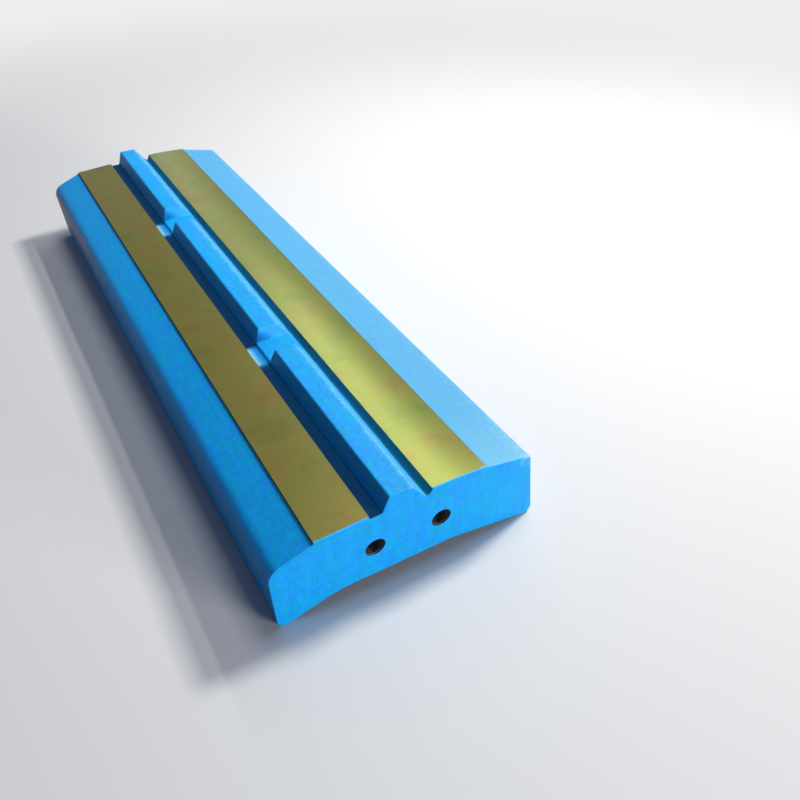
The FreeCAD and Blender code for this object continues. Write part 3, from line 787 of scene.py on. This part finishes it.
bare_metal = bpy.data.materials.new("oiled_tapped_white_iron")
bare_metal.use_nodes = True
tree = bare_metal.node_tree
shader = tree.nodes["Principled BSDF"]
where = add_node(tree, "ShaderNodeTexCoord").outputs["Object"]
rust = add_node(tree, "ShaderNodeTexNoise", {
    "Vector": where, "Scale": 1 / (7 * MM), "Detail": 4.0, "Roughness": 0.6})
rust_ramp = add_node(tree, "ShaderNodeValToRGB", {0: rust})
rust_ramp.color_ramp.elements[0].position = 0.5
rust_ramp.color_ramp.elements[0].color = linear("#24323E")
rust_ramp.color_ramp.elements[1].position = 0.74
rust_ramp.color_ramp.elements[1].color = linear("#5E3C2A")
tree.links.new(rust_ramp.outputs[0], shader.inputs["Base Color"])
shader.inputs["Metallic"].default_value = 0.6
shader.inputs["Roughness"].default_value = 0.45

mouths = bpy.data.meshes.new("hole_mouths")
mouths.from_pydata([(hole.x, side * bar_length / 2, hole.y)
                    for side in (-1, 1) for hole in hole_places], [], [])
facing = mouths.attributes.new("facing", "FLOAT", "POINT")
for number, turn in enumerate((0, 0, math.pi, math.pi)):
    facing.data[number].value = turn
hole_walls = grown(mouths, hole_tree, {
    "Segments": ring_points, "Rows": wall_rows, "Mouth Radius": hole_mouth_radius,
    "Bore Radius": hole_bore_radius, "Groove Radius": thread_groove_radius,
    "Pitch": thread_pitch, "Drilled Depth": drilled_depth, "Tapped Depth": tapped_depth,
    "Drill Point Lean": drill_point_lean, "Bare Metal": bare_metal}, "hole_walls")

# The walls join the casting at the rings of their mouths, so the bar is one closed skin.
whole = bmesh.new()
whole.from_mesh(cast_bar)
cast_faces = len(whole.faces)
whole.from_mesh(hole_walls)
whole.faces.ensure_lookup_table()
for face in whole.faces[cast_faces:]:
    face.material_index = len(cast_bar.materials)
open_rims = [vertex for vertex in whole.verts
             if any(edge.is_boundary for edge in vertex.link_edges)]
rim_weld_gap = 0.05 * MM
bmesh.ops.remove_doubles(whole, verts=open_rims, dist=rim_weld_gap)
bmesh.ops.recalc_face_normals(whole, faces=whole.faces)
cast_bar.materials.append(bare_metal)
whole.to_mesh(cast_bar)
whole.free()
casting = bpy.data.objects.new("blow_bar_casting", cast_bar)
bpy.context.scene.collection.objects.link(casting)
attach(casting, "root")
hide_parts("blow_bar")

# The studio: a pale floor that runs out into a pale backdrop, soft light, and the camera where
# the photograph was taken from. Bounced light sees a darker floor and room, so that the shaded
# sides stay as deep as in the photograph.
floor_mesh = bpy.data.meshes.new("floor")
floor_reach = 12
floor_corners = ((-1, -1), (1, -1), (1, 1), (-1, 1))
floor_mesh.from_pydata(
    [(x * floor_reach, y * floor_reach, 0) for x, y in floor_corners], [], [(0, 1, 2, 3)])
floor = bpy.data.objects.new("floor", floor_mesh)
bpy.context.scene.collection.objects.link(floor)
floor_paint = bpy.data.materials.new("matt_floor")
floor_paint.use_nodes = True


def background_rays(tree):
    """1 for rays that show the background: straight from the camera, mirrored or through glass."""
    path = add_node(tree, "ShaderNodeLightPath").outputs
    seen = add_node(tree, "ShaderNodeMath", {
        0: path["Is Camera Ray"], 1: path["Is Glossy Ray"]}, operation="MAXIMUM")
    return add_node(tree, "ShaderNodeMath", {
        0: seen, 1: path["Is Transmission Ray"]}, operation="MAXIMUM").outputs[0]


tree = floor_paint.node_tree
shader = tree.nodes["Principled BSDF"]
shown = background_rays(tree)
floor_tone = add_node(tree, "ShaderNodeMix", {
    0: shown, 6: linear("#606468"), 7: linear("#D2D2D0")}, data_type="RGBA")
tree.links.new(floor_tone.outputs[2], shader.inputs["Base Color"])
shader.inputs["Roughness"].default_value = 0.9
where = add_node(tree, "ShaderNodeTexCoord").outputs["Object"]
floor_distance = add_node(tree, "ShaderNodeVectorMath", {0: where}, operation="LENGTH")
far_away = add_node(tree, "ShaderNodeMapRange", {
    "Value": floor_distance.outputs["Value"], "From Min": 0.6, "From Max": 2.4},
    interpolation_type="SMOOTHSTEP")
backdrop_share = add_node(tree, "ShaderNodeMath", {0: far_away, 1: shown}, operation="MULTIPLY")
backdrop = add_node(tree, "ShaderNodeEmission", {"Color": linear("#EEEEEE"), "Strength": 1.0})
floor_look = add_node(tree, "ShaderNodeMixShader", {0: backdrop_share, 1: shader, 2: backdrop})
tree.links.new(floor_look.outputs[0], tree.nodes["Material Output"].inputs["Surface"])
floor_mesh.materials.append(floor_paint)

world = bpy.data.worlds.new("studio")
bpy.context.scene.world = world
world.use_nodes = True
tree = world.node_tree
sky = add_node(tree, "ShaderNodeSeparateXYZ", {
    0: add_node(tree, "ShaderNodeTexCoord").outputs["Generated"]})
high_up = add_node(tree, "ShaderNodeMapRange", {
    "Value": sky.outputs["Z"], "From Min": 0.14, "From Max": 0.4},
    interpolation_type="SMOOTHSTEP")
backdrop = add_node(tree, "ShaderNodeMix", {
    0: high_up, 6: linear("#EEEEEE"), 7: linear("#6E6E70")}, data_type="RGBA")
room_level = 0.15
room_light = [room_level * part for part in linear("#B0C6FF")[:3]] + [1]
room = add_node(tree, "ShaderNodeMix", {
    0: background_rays(tree), 6: room_light, 7: backdrop.outputs[2]}, data_type="RGBA")
tree.links.new(room.outputs[2], tree.nodes["Background"].inputs["Color"])
tree.nodes["Background"].inputs["Strength"].default_value = 1.0


def softbox(name, target, towards, distance, width, height, level, tint):
    """A rectangular studio lamp that faces a target; level 1 shows colours as they are written."""
    lamp = bpy.data.lights.new(name, "AREA")
    lamp.shape = "RECTANGLE"
    lamp.size = width
    lamp.size_y = height
    lamp.energy = level * (math.pi * distance) ** 2
    lamp.color = linear(tint)[:3]
    holder = bpy.data.objects.new(name, lamp)
    direction = Vector(towards).normalized()
    holder.location = Vector(target) + direction * distance
    holder.rotation_euler = (-direction).to_track_quat("-Z", "Y").to_euler()
    bpy.context.scene.collection.objects.link(holder)


# The two strips lie where the right pad mirrors them, and give it the gleam along the rib.
bar_middle, gleam = (0, 0, 0.1), (0.518, 0.0, 0.855)
softbox("key", bar_middle, (0.69, 0.0, 0.724), 2.6, 0.4, 0.4, 0.94, "#FFFCF6")
softbox("top", bar_middle, (0.2, 0.0, 0.98), 3.0, 1.0, 1.0, 0.29, "#F4F8FF")
softbox("front_fill", bar_middle, (0.45, -0.89, 0.09), 4.5, 1.6, 0.6, 1.0, "#FCFCFF")
softbox("near_strip", (0.03, 0.75, 0.12), gleam, 1.5, 1.9, 0.06, 0.35, "#FFFFFF")
softbox("far_strip", (0.03, 2.8, 0.12), gleam, 1.5, 2.2, 0.06, 0.15, "#FFFFFF")

# The camera, fitted to the photograph: its focal length and the centre of its view in pixels.
photo_size, focal_length, centre_across, centre_down = 800, 702.3, 330.6, 423.1
lens_data = bpy.data.cameras.new("camera")
lens_data.sensor_width = 36
lens_data.lens = lens_data.sensor_width * focal_length / photo_size
lens_data.shift_x = (photo_size / 2 - centre_across) / photo_size
lens_data.shift_y = (centre_down - photo_size / 2) / photo_size
lens_data.clip_start = 0.01
lens_data.clip_end = 50
camera = bpy.data.objects.new("camera", lens_data)
right = Vector((0.88503, -0.46496, -0.02313))
down = Vector((-0.3328, -0.59718, -0.72981))
forward = Vector((0.32552, 0.6536, -0.68326))
turn = Matrix((right, -down, -forward)).transposed().to_4x4()
camera.matrix_world = Matrix.Translation((-0.291, -0.887, 0.674)) @ turn
bpy.context.scene.collection.objects.link(camera)
bpy.context.scene.camera = camera
bpy.context.scene.view_settings.view_transform = "Standard"
